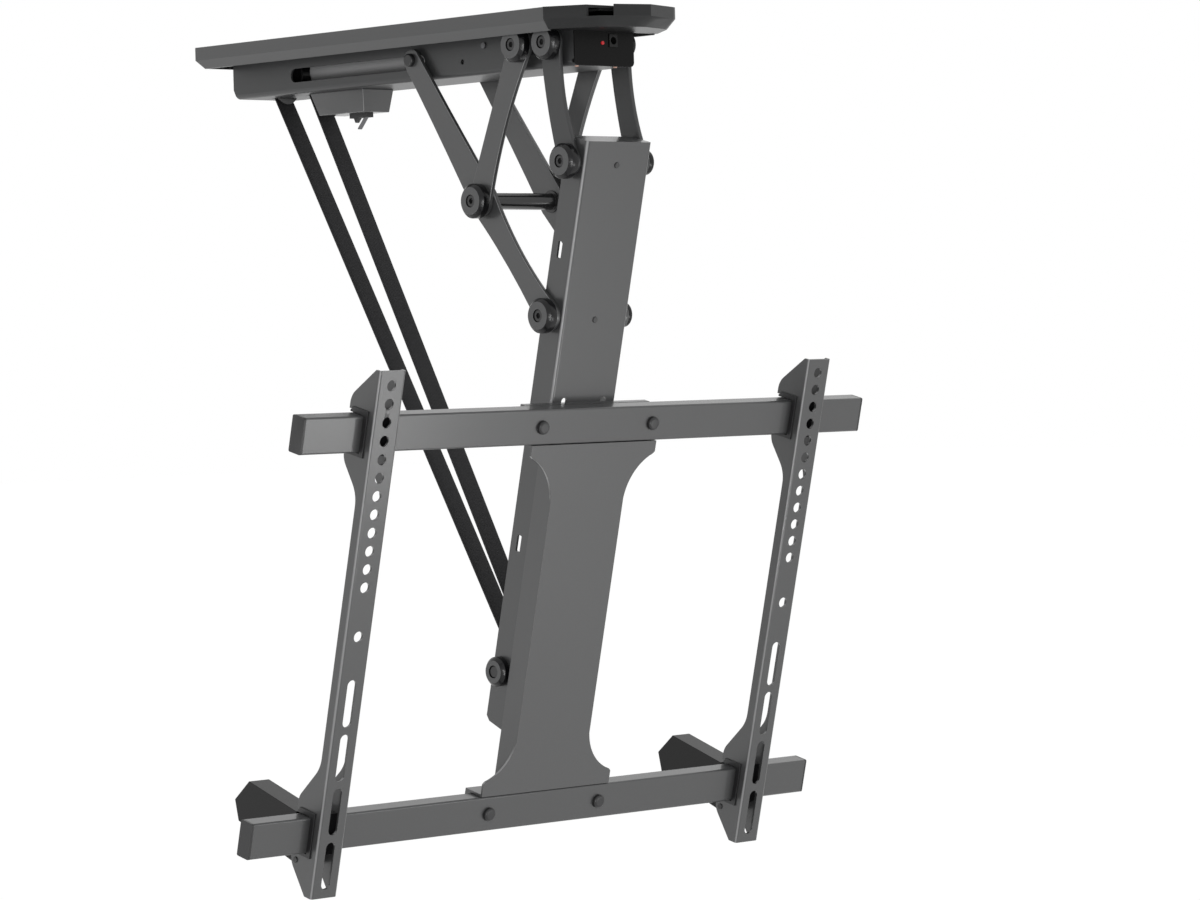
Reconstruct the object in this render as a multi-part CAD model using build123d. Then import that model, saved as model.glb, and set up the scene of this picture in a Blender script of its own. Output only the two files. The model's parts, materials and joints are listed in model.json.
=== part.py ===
"""Motorised flip-down ceiling mount for a television, shown with its mast let down.

Frame: the origin is the centre of the ceiling plate's top face. +X is to the right as seen by
somebody watching the screen, +Y is to the back and +Z is up. All sizes are in millimetres.
The mast and what it carries are drawn upright in a frame of their own, whose origin is the front
pivot, and are then tilted and placed. There v runs down the mast and w runs out to the front.
"""

from build123d import *
import os
from math import atan2, cos, degrees, hypot, radians, sin, sqrt

# Ceiling plate, a folded steel tray that is open below
PLATE_WIDTH = 130.0
PLATE_BACK_Y = 261.0
PLATE_FRONT_Y = -203.0
PLATE_SIDE_DROP = 11.5
PLATE_BEVEL_DROP = 7.5
PLATE_BEVEL_INSET = 6.0
SHEET = 2.0
PLATE_TONGUE_WIDTH = 60.0
PLATE_TONGUE_LENGTH = 30.0
CEILING_SLOT_LENGTH = 16.0
CEILING_SLOT_R = 4.0
CEILING_SLOT_SPACING_X = 94.0
CEILING_SLOT_SPACING_Y = 380.0

# Plastic nose cover in front of the plate
NOSE_HALF = 67.5
NOSE_CORNER_X = 42.0
NOSE_CORNER_Y = -247.5
NOSE_CORNER_R = 14.0
NOSE_STEP_R = 1.2
NOSE_TIP_Y = -261.5
NOSE_FACE_DROP = 9.5
NOSE_BEVEL_DROP = 8.5
NOSE_BEVEL_INSET = 7.5
NOSE_SIDE_SHARE = 0.7
NOSE_WALL = 2.5
NOTCH_INNER_X = -16.0
NOTCH_FRONT_Y = -250.9
NOTCH_BACK_Y = -236.2
NOTCH_DEPTH = 9.5

# Housing, a U-channel under the plate that holds the drive
HOUSING_HALF = 33.3
HOUSING_FRONT_Y = -205.0
HOUSING_BACK_Y = 247.5
HOUSING_BACK_SLANT = 4.4
HOUSING_SLANT_Z = -38.0
HOUSING_BOTTOM_Z = -46.5
HOUSING_BEND_R = 4.0
SLOT_FRONT_Y = -16.4
SLOT_BACK_Y = 165.7
SLOT_HEIGHT = 12.1
SLOT_Z = -30.7
RELIEF_HOLE_R = 1.8
SIDE_HOLE_R = 2.2
SIDE_HOLE_Y = -64.7
SIDE_HOLE_Z = -34.3
SIDE_SCREW_Y = -93.0
SIDE_SCREW_Z = -22.5
SIDE_SCREW_R = 2.6
SIDE_SCREW_HEIGHT = 1.6
STRAP_EXIT_Y = (169.5, 218.5)
STRAP_EXIT_LENGTH = 9.0
EXIT_LIP_DEPTH = 5.5
EXIT_LIP_SHEET = 1.5
EXIT_LIP_GAP = 0.5

# Front panel of the housing, with its socket, light and receiver lamps
PANEL_SHEET = 1.5
LED_R = 1.5
LED_X = -2.3
LED_Z = -27.5
JACK_X = 9.5
JACK_Z = -25.3
JACK_WIDTH = 9.0
JACK_HEIGHT = 10.6
JACK_DEPTH = 13.0
JACK_PROUD = 1.0
JACK_BORE_R = 3.1
LAMP_R = 1.6
LAMP_X = (-27.5, 15.5)
LAMP_INSET = 3.0
LAMP_DROP = 0.8

# Drive inside the housing
MOTOR_R = 17.5
MOTOR_FRONT_Y = -28.0
MOTOR_LENGTH = 189.0
MOTOR_END_R = 4.0
MOTOR_AXIS_Z = -26.5
GEARBOX_LENGTH = 44.0
GEARBOX_HALF = 17.5
BRACKET_LENGTH = 9.0
BRACKET_HALF = 21.0
BOARD_LENGTH = 100.0
BOARD_HALF = 24.0
BOARD_THICK = 1.6
BOARD_FRONT_Y = -180.0
BOARD_Z = -38.0
BOARD_POST_R = 3.0
SPOOL_Y = 192.0
SPOOL_HUB_R = 9.0
SPOOL_FLANGE_R = 17.0
SPOOL_FLANGE = 1.5
SPOOL_INNER_HALF = 11.5
SPOOL_AXLE_R = 4.0

# Switch box below the housing
BOX_HALF = 17.5
BOX_FRONT_Y = 86.0
BOX_BACK_Y = 159.0
BOX_HEIGHT = 19.8
BOX_SIDE_TAPER = 3.0
BOX_BACK_TAPER = 8.5
SWITCH_LENGTH = 24.0
SWITCH_HALF = 3.6
SWITCH_HEIGHT = 4.0
SWITCH_FRONT_Y = 98.0
SWITCH_TAB = 4.0
LEVER_LENGTH = 15.5
LEVER_HALF = 2.2
LEVER_ANGLE = 46.0
LEVER_THICK = 0.9
LEVER_EYE_R = 1.6
LEVER_PIN_R = 0.8

# Pivots in the side plane, as (y, z)
MAST_TILT = 14.0
PIVOT_T = (-201.0, -125.0)
PIVOT_A = (-149.7, -26.4)
PIVOT_B = (-182.7, -26.4)
SHORT_LINK = 138.0
LONG_LINK_UPPER = 152.0
PIVOT_M_Y = -94.5
SLOT_PIN_Z = -29.0
MAST_PIVOT_SPAN = 129.5
AXLE_V = 435.0

# Links, bolts and caps
LINK_SHEET = 4.0
SIDE_GAP = 0.3
RUN_CLEARANCE = 0.05
BOLT_R = 4.0
BOLT_HEAD_R = 4.7
BOLT_HEAD_HEIGHT = 4.5
BOLT_SOCKET_R = 2.6
BOLT_SOCKET_DEPTH = 2.5
BOLT_NUT_R = 7.0
BOLT_NUT_HEIGHT = 5.0
CAP_R = 14.6
CAP_HEIGHT = 9.2
CAP_WASHER_INSET = 2.6
CAP_WASHER = 1.0
CAP_CHAMFER = 2.9
CAP_RECESS_R = 5.2
CAP_RECESS_DEPTH = 5.4
FAR_CAP_R = 10.7
FAR_CAP_HEIGHT = 5.7
FAR_CAP_CHAMFER = 0.8
AXLE_CAP_R = 12.5
AXLE_CAP_HEIGHT = 7.6
SPACER_R = 8.5
SLOT_PIN_R = 3.0
SLOT_PIN_HEAD_R = 5.6
SLOT_PIN_HEAD = 4.0
SLOT_PIN_INSIDE = 3.0
SHORT_END_R = 13.0
SHORT_WAIST = 10.5
SHORT_BOW = 3.0
LONG_TOP_R = 9.5
LONG_MIDDLE_R = 15.0
LONG_BOTTOM_R = 13.0
LONG_TOP_WAIST = 11.5
LONG_LOW_WAIST = 9.7
LONG_LOW_BOW = 1.6
FRONT_END_R = 12.0
FRONT_WAIST = 10.0
FRONT_BOW = 4.5
CROSS_ROD_R = 7.0
CROSS_COLLAR_R = 9.6
CROSS_COLLAR = 1.2
CROSS_THREAD_DEPTH = 12.0

# Mast, a U-channel that is open to the back
FRONT_SPACER = 3.0
MAST_TOP_V = -19.6
MAST_BOTTOM_V = 484.0
MAST_FRONT_W = 15.5
MAST_BACK_W = -9.7
MAST_HEEL = 4.0
FOLD_R = 3.0
BAR_FOLD_R = 1.6
ARM_FOLD_R = 2.2
MAST_SIDE_SLOT_V = (74.0, 324.0)
MAST_SIDE_SLOT_LENGTH = 14.0
MAST_SIDE_SLOT_WIDTH = 5.0
MAST_SIDE_SLOT_R = 1.0
MAST_FACE_HOLE_X = 22.0
MAST_FACE_HOLE_V = 199.0
MAST_FACE_HOLE_R = 3.0
MAST_SCREW_V = (0.0, 130.0)
MAST_SCREW_R = 2.6
MAST_SCREW_HEIGHT = 0.8

# Bars that carry the television arms
BAR_HALF = 312.0
BAR_HEIGHT = 30.0
BAR_DEPTH = 15.0
BAR_WALL = 1.5
BAR_BACK_W = 21.8
TOP_BAR_V = 199.8
LOW_BAR_V = 531.6
BAR_PLUG = 2.0
BAR_PLUG_DEPTH = 12.0
BAR_SCREW_X = 62.0
BAR_SCREW_HEAD_R = 5.8
BAR_SCREW_HEAD = 3.6
BAR_SCREW_R = 3.0

# Saddle plate between the bars
SADDLE_SHEET = 2.0
SADDLE_TOP_HALF = 70.0
SADDLE_LOW_HALF = 72.0
SADDLE_WAIST = 41.0
SADDLE_TOP_TAB = 11.0
SADDLE_LOW_TAB = 13.0
SADDLE_TOP_SHOULDER = 49.0
SADDLE_LOW_SHOULDER = 47.0
SADDLE_GAP = 0.4
SADDLE_NIB = 2.0
SADDLE_BOW = 6.0

# Television arms, folded channels with lobes that hook over the bars
ARM_X = 240.0
ARM_HALF = 13.5
ARM_SHEET = 2.0
ARM_FRONT_W = 48.6
ARM_TOP_V = 160.8
ARM_BOTTOM_V = 597.2
ARM_FLANGE = 9.4
ARM_HOLE_R = 4.5
ARM_HOLE_V = 172.8
ARM_HOLE_PITCH = 15.0
ARM_HOLE_COUNT = 12
ARM_SINGLE_V = 378.3
ARM_SLOTS = ((414.2, 453.7), (459.6, 499.0), (504.8, 543.9), (550.2, 589.7))
ARM_TOP_FLAT = 5.0
ARM_FOOT_FLAT = 8.9
LOBE_BACK_W = 17.3
LOBE_CORNER_R = 15.0
LOBE_EASE_R = 25.0
TOP_LOBE_RISE = 12.8
TOP_LOBE_DROP = 8.9
TOP_LOBE_EASE = 24.3
LOW_LOBE_RISE = 12.2
LOW_LOBE_DROP = 11.7
LOW_LOBE_EASE = 30.2
LINER_WALL = 2.0
LINER_GAP = 0.3
LINER_FLANGE = 2.5
LINER_LOW_FLANGE = 1.0
LINER_PROUD = 1.5

# Lock levers behind the lower bar
LOCK_PIVOT_V = 571.0
LOCK_PIVOT_W = 23.5
LOCK_PIN_R = 2.5
LOCK_EYE_R = 5.5
LOCK_SIDE_GAP = 1.0
LOCK_TIP = (-66.0, 548.0)
LOCK_TOP = (-51.0, 528.0)
LOCK_TOP_INNER = (13.0, 534.0)
LOCK_LOW = (-58.0, 564.0)

# Lifting strap
STRAP_WIDTH = 19.0
STRAP_THICK = 1.8
STRAP_TOP_Z = -40.0
STRAP_TOP_Y = (173.4, 222.6)
STRAP_GAP = 0.3
ROLLER_R = 8.0
ROLLER_HALF = 12.0
ROLLER_FLANGE_R = 10.5
ROLLER_FLANGE = 2.0
ROLLER_BORE_CLEARANCE = 0.05

# Layers across the width, worked out from the sizes above
MAST_HALF = HOUSING_HALF + FRONT_SPACER
LINK_IN = MAST_HALF + SIDE_GAP
LINK_OUT = LINK_IN + LINK_SHEET
OUTER_IN = LINK_OUT + SIDE_GAP
OUTER_OUT = OUTER_IN + LINK_SHEET
HOLE_R = BOLT_R + RUN_CLEARANCE

# Pivots that follow from the link lengths
PIVOT_M = (PIVOT_M_Y, PIVOT_A[1] - sqrt(SHORT_LINK**2 - (PIVOT_M_Y - PIVOT_A[0]) ** 2))
SLOT_PIN = (PIVOT_M_Y + sqrt(LONG_LINK_UPPER**2 - (SLOT_PIN_Z - PIVOT_M[1]) ** 2), SLOT_PIN_Z)


def on_mast(v, w=0.0):
    """Place of a point of the mast's own frame in the side plane, as (y, z)."""
    tilt = radians(MAST_TILT)
    return (PIVOT_T[0] + v * sin(tilt) - w * cos(tilt), PIVOT_T[1] - v * cos(tilt) - w * sin(tilt))


PIVOT_L = on_mast(MAST_PIVOT_SPAN)
PIVOT_K = on_mast(AXLE_V)


def tilted(shape):
    """Tilt a shape drawn in the mast's frame and set it on the front pivot."""
    return Pos(0, PIVOT_T[0], PIVOT_T[1]) * Rot(MAST_TILT, 0, 0) * shape


def box(x, y, z):
    """Box between pairs of limits along X, Y and Z."""
    size = (x[1] - x[0], y[1] - y[0], z[1] - z[0])
    return Pos((x[0] + x[1]) / 2, (y[0] + y[1]) / 2, (z[0] + z[1]) / 2) * Box(*size)


def mast_box(x, v, w):
    """Box in the mast's frame between limits across, down the mast and out to the front."""
    return box(x, (-w[1], -w[0]), (-v[1], -v[0]))


def side_profile(face, x0, x1):
    """Extrude a face drawn in the side plane from x0 to x1."""
    return Pos(x0, 0, 0) * extrude(Plane.YZ * face, x1 - x0)


def polygon(*points):
    """Face with straight sides through the points."""
    return make_face(Polyline(*points, close=True))


def closed(lines):
    """Face inside a closed chain of lines and arcs."""
    return make_face(Wire(lines))


def cross_pin(at, r, x0, x1):
    """Round bar along X through a point of the side plane."""
    return side_profile(Pos(at[0], at[1]) * Circle(r), x0, x1)


def both_sides(make):
    """Left and right copies of one shape that is drawn on the left."""
    left = make()
    return left, mirror(left, Plane.YZ)


def pair(make):
    """Two solids of one node, mirrored across the middle plane."""
    return Compound(children=list(both_sides(make)))


def bowed_edge(start, end, start_off, middle_off, end_off):
    """Arc that runs beside the line from start to end at the given offsets."""
    length = hypot(end[0] - start[0], end[1] - start[1])
    nx, ny = -(end[1] - start[1]) / length, (end[0] - start[0]) / length
    mid = ((start[0] + end[0]) / 2, (start[1] + end[1]) / 2)
    a = (start[0] + nx * start_off, start[1] + ny * start_off)
    b = (mid[0] + nx * middle_off, mid[1] + ny * middle_off)
    c = (end[0] + nx * end_off, end[1] + ny * end_off)
    return ThreePointArc(a, b, c)


def bowed_link(start, end, start_r, end_r, waist, bow):
    """Flat link between two round ends, narrower in the middle and bowed to one side."""
    one = bowed_edge(start, end, start_r, waist + bow, end_r)
    other = bowed_edge(start, end, -start_r, bow - waist, -end_r)
    sides = [one, Line(one @ 1, other @ 1), other, Line(other @ 0, one @ 0)]
    ends = Pos(*start) * Circle(start_r) + Pos(*end) * Circle(end_r)
    return closed(sides) + ends


def rounded_at(face, places, r):
    """Face with the corners at the given places rounded."""
    for x, y in places:
        corner = face.vertices().sort_by_distance((x, y, 0))[0]
        face = fillet(corner, r)
    return face


def drilled(face, *holes):
    """Face with round holes, each given as a place and a radius."""
    for place, r in holes:
        face -= Pos(*place) * Circle(r)
    return face


# Ceiling unit


def tray_block(inset):
    """Solid tray with a bevelled foot along its sides and back, shrunk by an inset."""
    half = PLATE_WIDTH / 2 - inset
    back = PLATE_BACK_Y - inset
    wall = box((-half, half), (PLATE_FRONT_Y, back), (-PLATE_SIDE_DROP, -inset))
    middle = (PLATE_FRONT_Y + back) / 2
    wide = Pos(0, middle, -PLATE_SIDE_DROP) * Rectangle(2 * half, back - PLATE_FRONT_Y)
    length = back - PLATE_BEVEL_INSET - PLATE_FRONT_Y
    narrow = Pos(0, PLATE_FRONT_Y + length / 2, -PLATE_SIDE_DROP - PLATE_BEVEL_DROP)
    return wall + loft([narrow * Rectangle(2 * (half - PLATE_BEVEL_INSET), length), wide], ruled=True)


def along_y(face, y0, y1):
    """Extrude a face drawn in the X-Z plane from y0 to y1."""
    return Pos(0, y0, 0) * extrude(Plane.XZ * face, -(y1 - y0))


def ceiling_plate():
    plate = tray_block(0) - tray_block(SHEET)
    tongue = (-PLATE_TONGUE_WIDTH / 2, PLATE_TONGUE_WIDTH / 2)
    plate += box(tongue, (PLATE_FRONT_Y - PLATE_TONGUE_LENGTH, PLATE_FRONT_Y + SHEET), (-2 * SHEET, -SHEET))
    for x in (-CEILING_SLOT_SPACING_X / 2, CEILING_SLOT_SPACING_X / 2):
        for y in (-CEILING_SLOT_SPACING_Y / 2, CEILING_SLOT_SPACING_Y / 2):
            slot = SlotOverall(CEILING_SLOT_LENGTH, 2 * CEILING_SLOT_R)
            plate -= Pos(x, y, -2 * SHEET) * extrude(slot, 3 * SHEET)
    return plate


def nose_plan(inset):
    """Plan of the nose, drawn in by an inset: two straight fronts that meet at a crease."""
    side = inset * NOSE_SIDE_SHARE
    corner_y = NOSE_CORNER_Y + side
    half, corner_x = NOSE_HALF - side, NOSE_CORNER_X - side
    face = polygon((half, PLATE_FRONT_Y), (corner_x, corner_y), (0, NOSE_TIP_Y + inset),
                   (-corner_x, corner_y), (-half, PLATE_FRONT_Y))
    face = fillet(face.vertices().sort_by(Axis.Y)[1:3], NOSE_CORNER_R)
    return fillet(face.vertices().sort_by(Axis.Y)[-2:], NOSE_STEP_R)


def nose_block(inset, bevel_inset, top):
    """Solid nose: an upright face over a bevelled foot."""
    upper = Pos(0, 0, -NOSE_FACE_DROP) * extrude(nose_plan(inset), NOSE_FACE_DROP + top)
    wide = Pos(0, 0, -NOSE_FACE_DROP) * nose_plan(inset)
    low = -NOSE_FACE_DROP - NOSE_BEVEL_DROP
    narrow = Pos(0, 0, low + inset) * nose_plan(inset + bevel_inset)
    return upper + loft([narrow, wide], ruled=True)


def nose_cover():
    cover = nose_block(0, NOSE_BEVEL_INSET, 0)
    cover -= nose_block(NOSE_WALL, NOSE_BEVEL_INSET, -NOSE_WALL)
    room = PLATE_TONGUE_WIDTH / 2 + SIDE_GAP
    cover -= box((-HOUSING_HALF - SIDE_GAP, HOUSING_HALF + SIDE_GAP),
                 (HOUSING_FRONT_Y - SIDE_GAP, PLATE_FRONT_Y), (HOUSING_BOTTOM_Z, -SHEET))
    cover -= box((-room, room), (PLATE_FRONT_Y - PLATE_TONGUE_LENGTH - SIDE_GAP, PLATE_FRONT_Y),
                 (-2 * SHEET - SIDE_GAP, -SHEET))
    cover -= box((-NOSE_HALF, NOTCH_INNER_X), (NOTCH_FRONT_Y, NOTCH_BACK_Y), (-NOTCH_DEPTH, SHEET))
    return cover


def housing_section(inset, top=-SHEET):
    """Section of the housing's channel, with its bent lower corners."""
    half, low = HOUSING_HALF - inset, HOUSING_BOTTOM_Z + inset
    face = Pos(0, (low + top) / 2) * Rectangle(2 * half, top - low)
    return fillet(face.vertices().sort_by(Axis.Y)[:2], HOUSING_BEND_R - inset)


def side_slot():
    """The slot that guides the long links, open on both sides of the housing."""
    length = SLOT_BACK_Y - SLOT_FRONT_Y
    slot = Pos((SLOT_BACK_Y + SLOT_FRONT_Y) / 2, SLOT_Z) * SlotOverall(length, SLOT_HEIGHT)
    return side_profile(slot, -2 * HOUSING_HALF, 2 * HOUSING_HALF)


def strap_exit(y):
    half = STRAP_WIDTH / 2 + SHEET / 2
    return box((-half, half), (y - STRAP_EXIT_LENGTH / 2, y + STRAP_EXIT_LENGTH / 2),
               (HOUSING_BOTTOM_Z - SHEET, HOUSING_BOTTOM_Z + 2 * SHEET))


def housing():
    front = HOUSING_FRONT_Y + PANEL_SHEET
    body = along_y(housing_section(0), front, HOUSING_BACK_Y)
    body -= along_y(housing_section(SHEET, SHEET), front, HOUSING_BACK_Y - HOUSING_BACK_SLANT - SHEET)
    body -= side_slot()
    for pivot in (PIVOT_A, PIVOT_B):
        body -= cross_pin(pivot, HOLE_R, -2 * HOUSING_HALF, 2 * HOUSING_HALF)
    body -= cross_pin((SIDE_HOLE_Y, SIDE_HOLE_Z), SIDE_HOLE_R, -2 * HOUSING_HALF, 2 * HOUSING_HALF)
    body -= cross_pin((SIDE_SCREW_Y, SIDE_SCREW_Z), SIDE_SCREW_R / 2, -2 * HOUSING_HALF, 2 * HOUSING_HALF)
    relief = (front + RELIEF_HOLE_R / 2, HOUSING_BOTTOM_Z + HOUSING_BEND_R)
    body -= cross_pin(relief, RELIEF_HOLE_R, -2 * HOUSING_HALF, 2 * HOUSING_HALF)
    for y in STRAP_EXIT_Y:
        body -= strap_exit(y)
    under = HOUSING_BOTTOM_Z - SHEET
    slope = HOUSING_BACK_SLANT / (HOUSING_SLANT_Z - HOUSING_BOTTOM_Z)
    slant = polygon((HOUSING_BACK_Y, HOUSING_SLANT_Z), (HOUSING_BACK_Y + SHEET, under),
                    (HOUSING_BACK_Y - slope * (HOUSING_SLANT_Z - under), under))
    body -= side_profile(slant, -2 * HOUSING_HALF, 2 * HOUSING_HALF)
    for x in LAMP_X:
        body -= Pos(x, front + LAMP_INSET, HOUSING_BOTTOM_Z) * Cylinder(LAMP_R, 4 * SHEET)
    return body


def front_panel():
    panel = along_y(housing_section(0), HOUSING_FRONT_Y, HOUSING_FRONT_Y + PANEL_SHEET)
    panel -= along_y(Pos(LED_X, LED_Z) * Circle(LED_R), HOUSING_FRONT_Y, HOUSING_FRONT_Y + PANEL_SHEET)
    panel -= along_y(Pos(JACK_X, JACK_Z) * Rectangle(JACK_WIDTH, JACK_HEIGHT),
                     HOUSING_FRONT_Y, HOUSING_FRONT_Y + PANEL_SHEET)
    room = PLATE_TONGUE_WIDTH / 2 + SIDE_GAP
    panel -= box((-room, room), (HOUSING_FRONT_Y, PLATE_FRONT_Y), (-2 * SHEET - SIDE_GAP, -SHEET))
    return panel


def dc_jack():
    front = HOUSING_FRONT_Y - JACK_PROUD
    face = Pos(JACK_X, JACK_Z) * Rectangle(JACK_WIDTH, JACK_HEIGHT)
    jack = along_y(face, front, front + JACK_DEPTH)
    return jack - along_y(Pos(JACK_X, JACK_Z) * Circle(JACK_BORE_R), front, front + JACK_DEPTH - SHEET)


def status_led():
    led = Pos(LED_X, LED_Z) * Circle(LED_R)
    return along_y(led, HOUSING_FRONT_Y - LED_R / 2, HOUSING_FRONT_Y + 2 * PANEL_SHEET)


def receiver_lamps():
    lamps = []
    for x in LAMP_X:
        length = LAMP_DROP + 2 * SHEET
        middle = HOUSING_BOTTOM_Z - LAMP_DROP + length / 2
        lamps.append(Pos(x, HOUSING_FRONT_Y + PANEL_SHEET + LAMP_INSET, middle) * Cylinder(LAMP_R, length))
    return Compound(children=lamps)


def along_motor(r, y0, y1):
    """Round bar on the motor's axis."""
    return along_y(Pos(0, MOTOR_AXIS_Z) * Circle(r), y0, y1)


def gear_motor():
    tube = along_motor(MOTOR_R, MOTOR_FRONT_Y, MOTOR_FRONT_Y + MOTOR_LENGTH)
    end = tube.edges().filter_by(GeomType.CIRCLE).sort_by(Axis.Y)[-1]
    return fillet(end, MOTOR_END_R)


def gearbox():
    y0 = MOTOR_FRONT_Y - GEARBOX_LENGTH
    face = Pos(0, MOTOR_AXIS_Z) * RectangleRounded(2 * GEARBOX_HALF, 2 * GEARBOX_HALF, HOUSING_BEND_R)
    return along_y(face, y0, MOTOR_FRONT_Y)


def motor_bracket():
    y0 = MOTOR_FRONT_Y
    top = -SHEET
    low = HOUSING_BOTTOM_Z + SHEET
    face = Pos(0, (top + low) / 2) * Rectangle(2 * BRACKET_HALF, top - low)
    return along_y(face - Pos(0, MOTOR_AXIS_Z) * Circle(MOTOR_R), y0, y0 + BRACKET_LENGTH)


def control_board():
    board = box((-BOARD_HALF, BOARD_HALF), (BOARD_FRONT_Y, BOARD_FRONT_Y + BOARD_LENGTH),
                (BOARD_Z, BOARD_Z + BOARD_THICK))
    floor = HOUSING_BOTTOM_Z + SHEET
    for x in (-BOARD_HALF + 2 * BOARD_POST_R, BOARD_HALF - 2 * BOARD_POST_R):
        for y in (BOARD_FRONT_Y + 2 * BOARD_POST_R, BOARD_FRONT_Y + BOARD_LENGTH - 2 * BOARD_POST_R):
            board += Pos(x, y, (floor + BOARD_Z) / 2) * Cylinder(BOARD_POST_R, BOARD_Z - floor)
    return board


def spool():
    at = (SPOOL_Y, MOTOR_AXIS_Z)
    drum = cross_pin(at, SPOOL_HUB_R, -SPOOL_INNER_HALF, SPOOL_INNER_HALF)
    for x in (-SPOOL_INNER_HALF - SPOOL_FLANGE, SPOOL_INNER_HALF):
        drum += cross_pin(at, SPOOL_FLANGE_R, x, x + SPOOL_FLANGE)
    inside = HOUSING_HALF - SHEET - SIDE_GAP
    return drum + cross_pin(at, SPOOL_AXLE_R, -inside, inside)


def strap_lips():
    """Rounded tabs bent down in front of the strap's exits, which keep it off the sheet's edge."""
    half = STRAP_WIDTH / 2 + SHEET / 2
    z = HOUSING_BOTTOM_Z
    arc = ThreePointArc((-half, z), (0, z - EXIT_LIP_DEPTH), (half, z))
    face = closed([arc, Line(arc @ 1, arc @ 0)])
    lips = []
    for y in STRAP_EXIT_Y:
        back = y - STRAP_EXIT_LENGTH / 2 - EXIT_LIP_GAP
        lips.append(along_y(face, back - EXIT_LIP_SHEET, back))
    return Compound(children=lips)


def switch_box():
    low = HOUSING_BOTTOM_Z - BOX_HEIGHT
    side = polygon((BOX_FRONT_Y, HOUSING_BOTTOM_Z), (BOX_BACK_Y, HOUSING_BOTTOM_Z),
                   (BOX_BACK_Y - BOX_BACK_TAPER, low), (BOX_FRONT_Y + BOX_SIDE_TAPER, low))
    front = polygon((-BOX_HALF, HOUSING_BOTTOM_Z), (BOX_HALF, HOUSING_BOTTOM_Z),
                    (BOX_HALF - BOX_SIDE_TAPER, low), (BOX_SIDE_TAPER - BOX_HALF, low))
    return side_profile(side, -BOX_HALF, BOX_HALF) & along_y(front, BOX_FRONT_Y, BOX_BACK_Y)


def lever_pivot():
    """Pivot of the switch's lever, in the side plane."""
    low = HOUSING_BOTTOM_Z - BOX_HEIGHT - SWITCH_HEIGHT
    return (SWITCH_FRONT_Y + 2.5 * LEVER_EYE_R, low + LEVER_EYE_R)


def microswitch():
    top = HOUSING_BOTTOM_Z - BOX_HEIGHT
    low = top - SWITCH_HEIGHT
    back = SWITCH_FRONT_Y + SWITCH_LENGTH
    body = box((-SWITCH_HALF, SWITCH_HALF), (SWITCH_FRONT_Y, back), (low, top))
    tab = polygon((back - 2.5 * SWITCH_TAB, low), (back - SWITCH_TAB, low),
                  (back - 1.5 * SWITCH_TAB, low - SWITCH_TAB))
    body += side_profile(tab, -LEVER_HALF, LEVER_HALF)
    pivot = lever_pivot()
    body -= box((-LEVER_HALF - SIDE_GAP, LEVER_HALF + SIDE_GAP),
                (pivot[0] - 2 * LEVER_EYE_R, pivot[0] + 3 * LEVER_EYE_R),
                (low, pivot[1] + LEVER_EYE_R + SIDE_GAP))
    return body + cross_pin(pivot, LEVER_PIN_R, -SWITCH_HALF, SWITCH_HALF)


def switch_lever():
    at = lever_pivot()
    blade = Pos(at[0], at[1]) * Rot(0, 0, -LEVER_ANGLE) * Pos(LEVER_LENGTH / 2, 0)
    face = Pos(at[0], at[1]) * Circle(LEVER_EYE_R) + blade * Rectangle(LEVER_LENGTH, LEVER_THICK)
    face -= Pos(at[0], at[1]) * Circle(LEVER_PIN_R + RUN_CLEARANCE)
    return side_profile(face, -LEVER_HALF, LEVER_HALF)


def side_screws():
    """Small screws in the housing's sides."""
    def screw():
        at = (SIDE_SCREW_Y, SIDE_SCREW_Z)
        head = cross_pin(at, SIDE_SCREW_R, -HOUSING_HALF - SIDE_SCREW_HEIGHT, -HOUSING_HALF)
        return head + cross_pin(at, SIDE_SCREW_R / 2, -HOUSING_HALF, -HOUSING_HALF + 2 * SHEET)
    return pair(screw)


# Pivot hardware


def cap_solid(at, inner, r, height, bevel):
    """Round cap on a washer, with a recess for the bolt's head, on the left side."""
    washer_out = inner + CAP_WASHER
    out = washer_out + height
    body = cross_pin(at, r - CAP_WASHER_INSET, -washer_out, -inner)
    ring = cross_pin(at, r, -out, -washer_out)
    rim = ring.edges().filter_by(GeomType.CIRCLE).sort_by(Axis.X)[0]
    body += chamfer(rim, bevel)
    body -= cross_pin(at, HOLE_R, -out, -inner)
    return body - cross_pin(at, CAP_RECESS_R, -out, -out + CAP_RECESS_DEPTH)


def bolt_solid(at, inner, height, shank_in, nut):
    """Socket bolt under a cap; the shank runs inward to shank_in, where a nut may hold it."""
    seat = inner + CAP_WASHER + height - CAP_RECESS_DEPTH
    head_out = seat + BOLT_HEAD_HEIGHT
    bolt = cross_pin(at, BOLT_HEAD_R, -head_out, -seat)
    socket = Plane.YZ * (Pos(*at) * RegularPolygon(BOLT_SOCKET_R, 6))
    bolt -= Pos(-head_out, 0, 0) * extrude(socket, BOLT_SOCKET_DEPTH)
    bolt += cross_pin(at, BOLT_R, -seat, -shank_in)
    if nut:
        hexagon = Plane.YZ * (Pos(*at) * RegularPolygon(BOLT_NUT_R, 6))
        bolt += Pos(-shank_in, 0, 0) * extrude(hexagon, BOLT_NUT_HEIGHT)
    return bolt


def caps(at, inner):
    """Large cap on the left side and a low one on the right."""
    left = cap_solid(at, inner, CAP_R, CAP_HEIGHT, CAP_CHAMFER)
    right = cap_solid(at, inner, FAR_CAP_R, FAR_CAP_HEIGHT, FAR_CAP_CHAMFER)
    return Compound(children=[left, mirror(right, Plane.YZ)])


def bolts(at, inner, shank_in, nut):
    """Bolts under both caps of a pivot."""
    left = bolt_solid(at, inner, CAP_HEIGHT, shank_in, nut)
    right = bolt_solid(at, inner, FAR_CAP_HEIGHT, shank_in, nut)
    return Compound(children=[left, mirror(right, Plane.YZ)])


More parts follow.
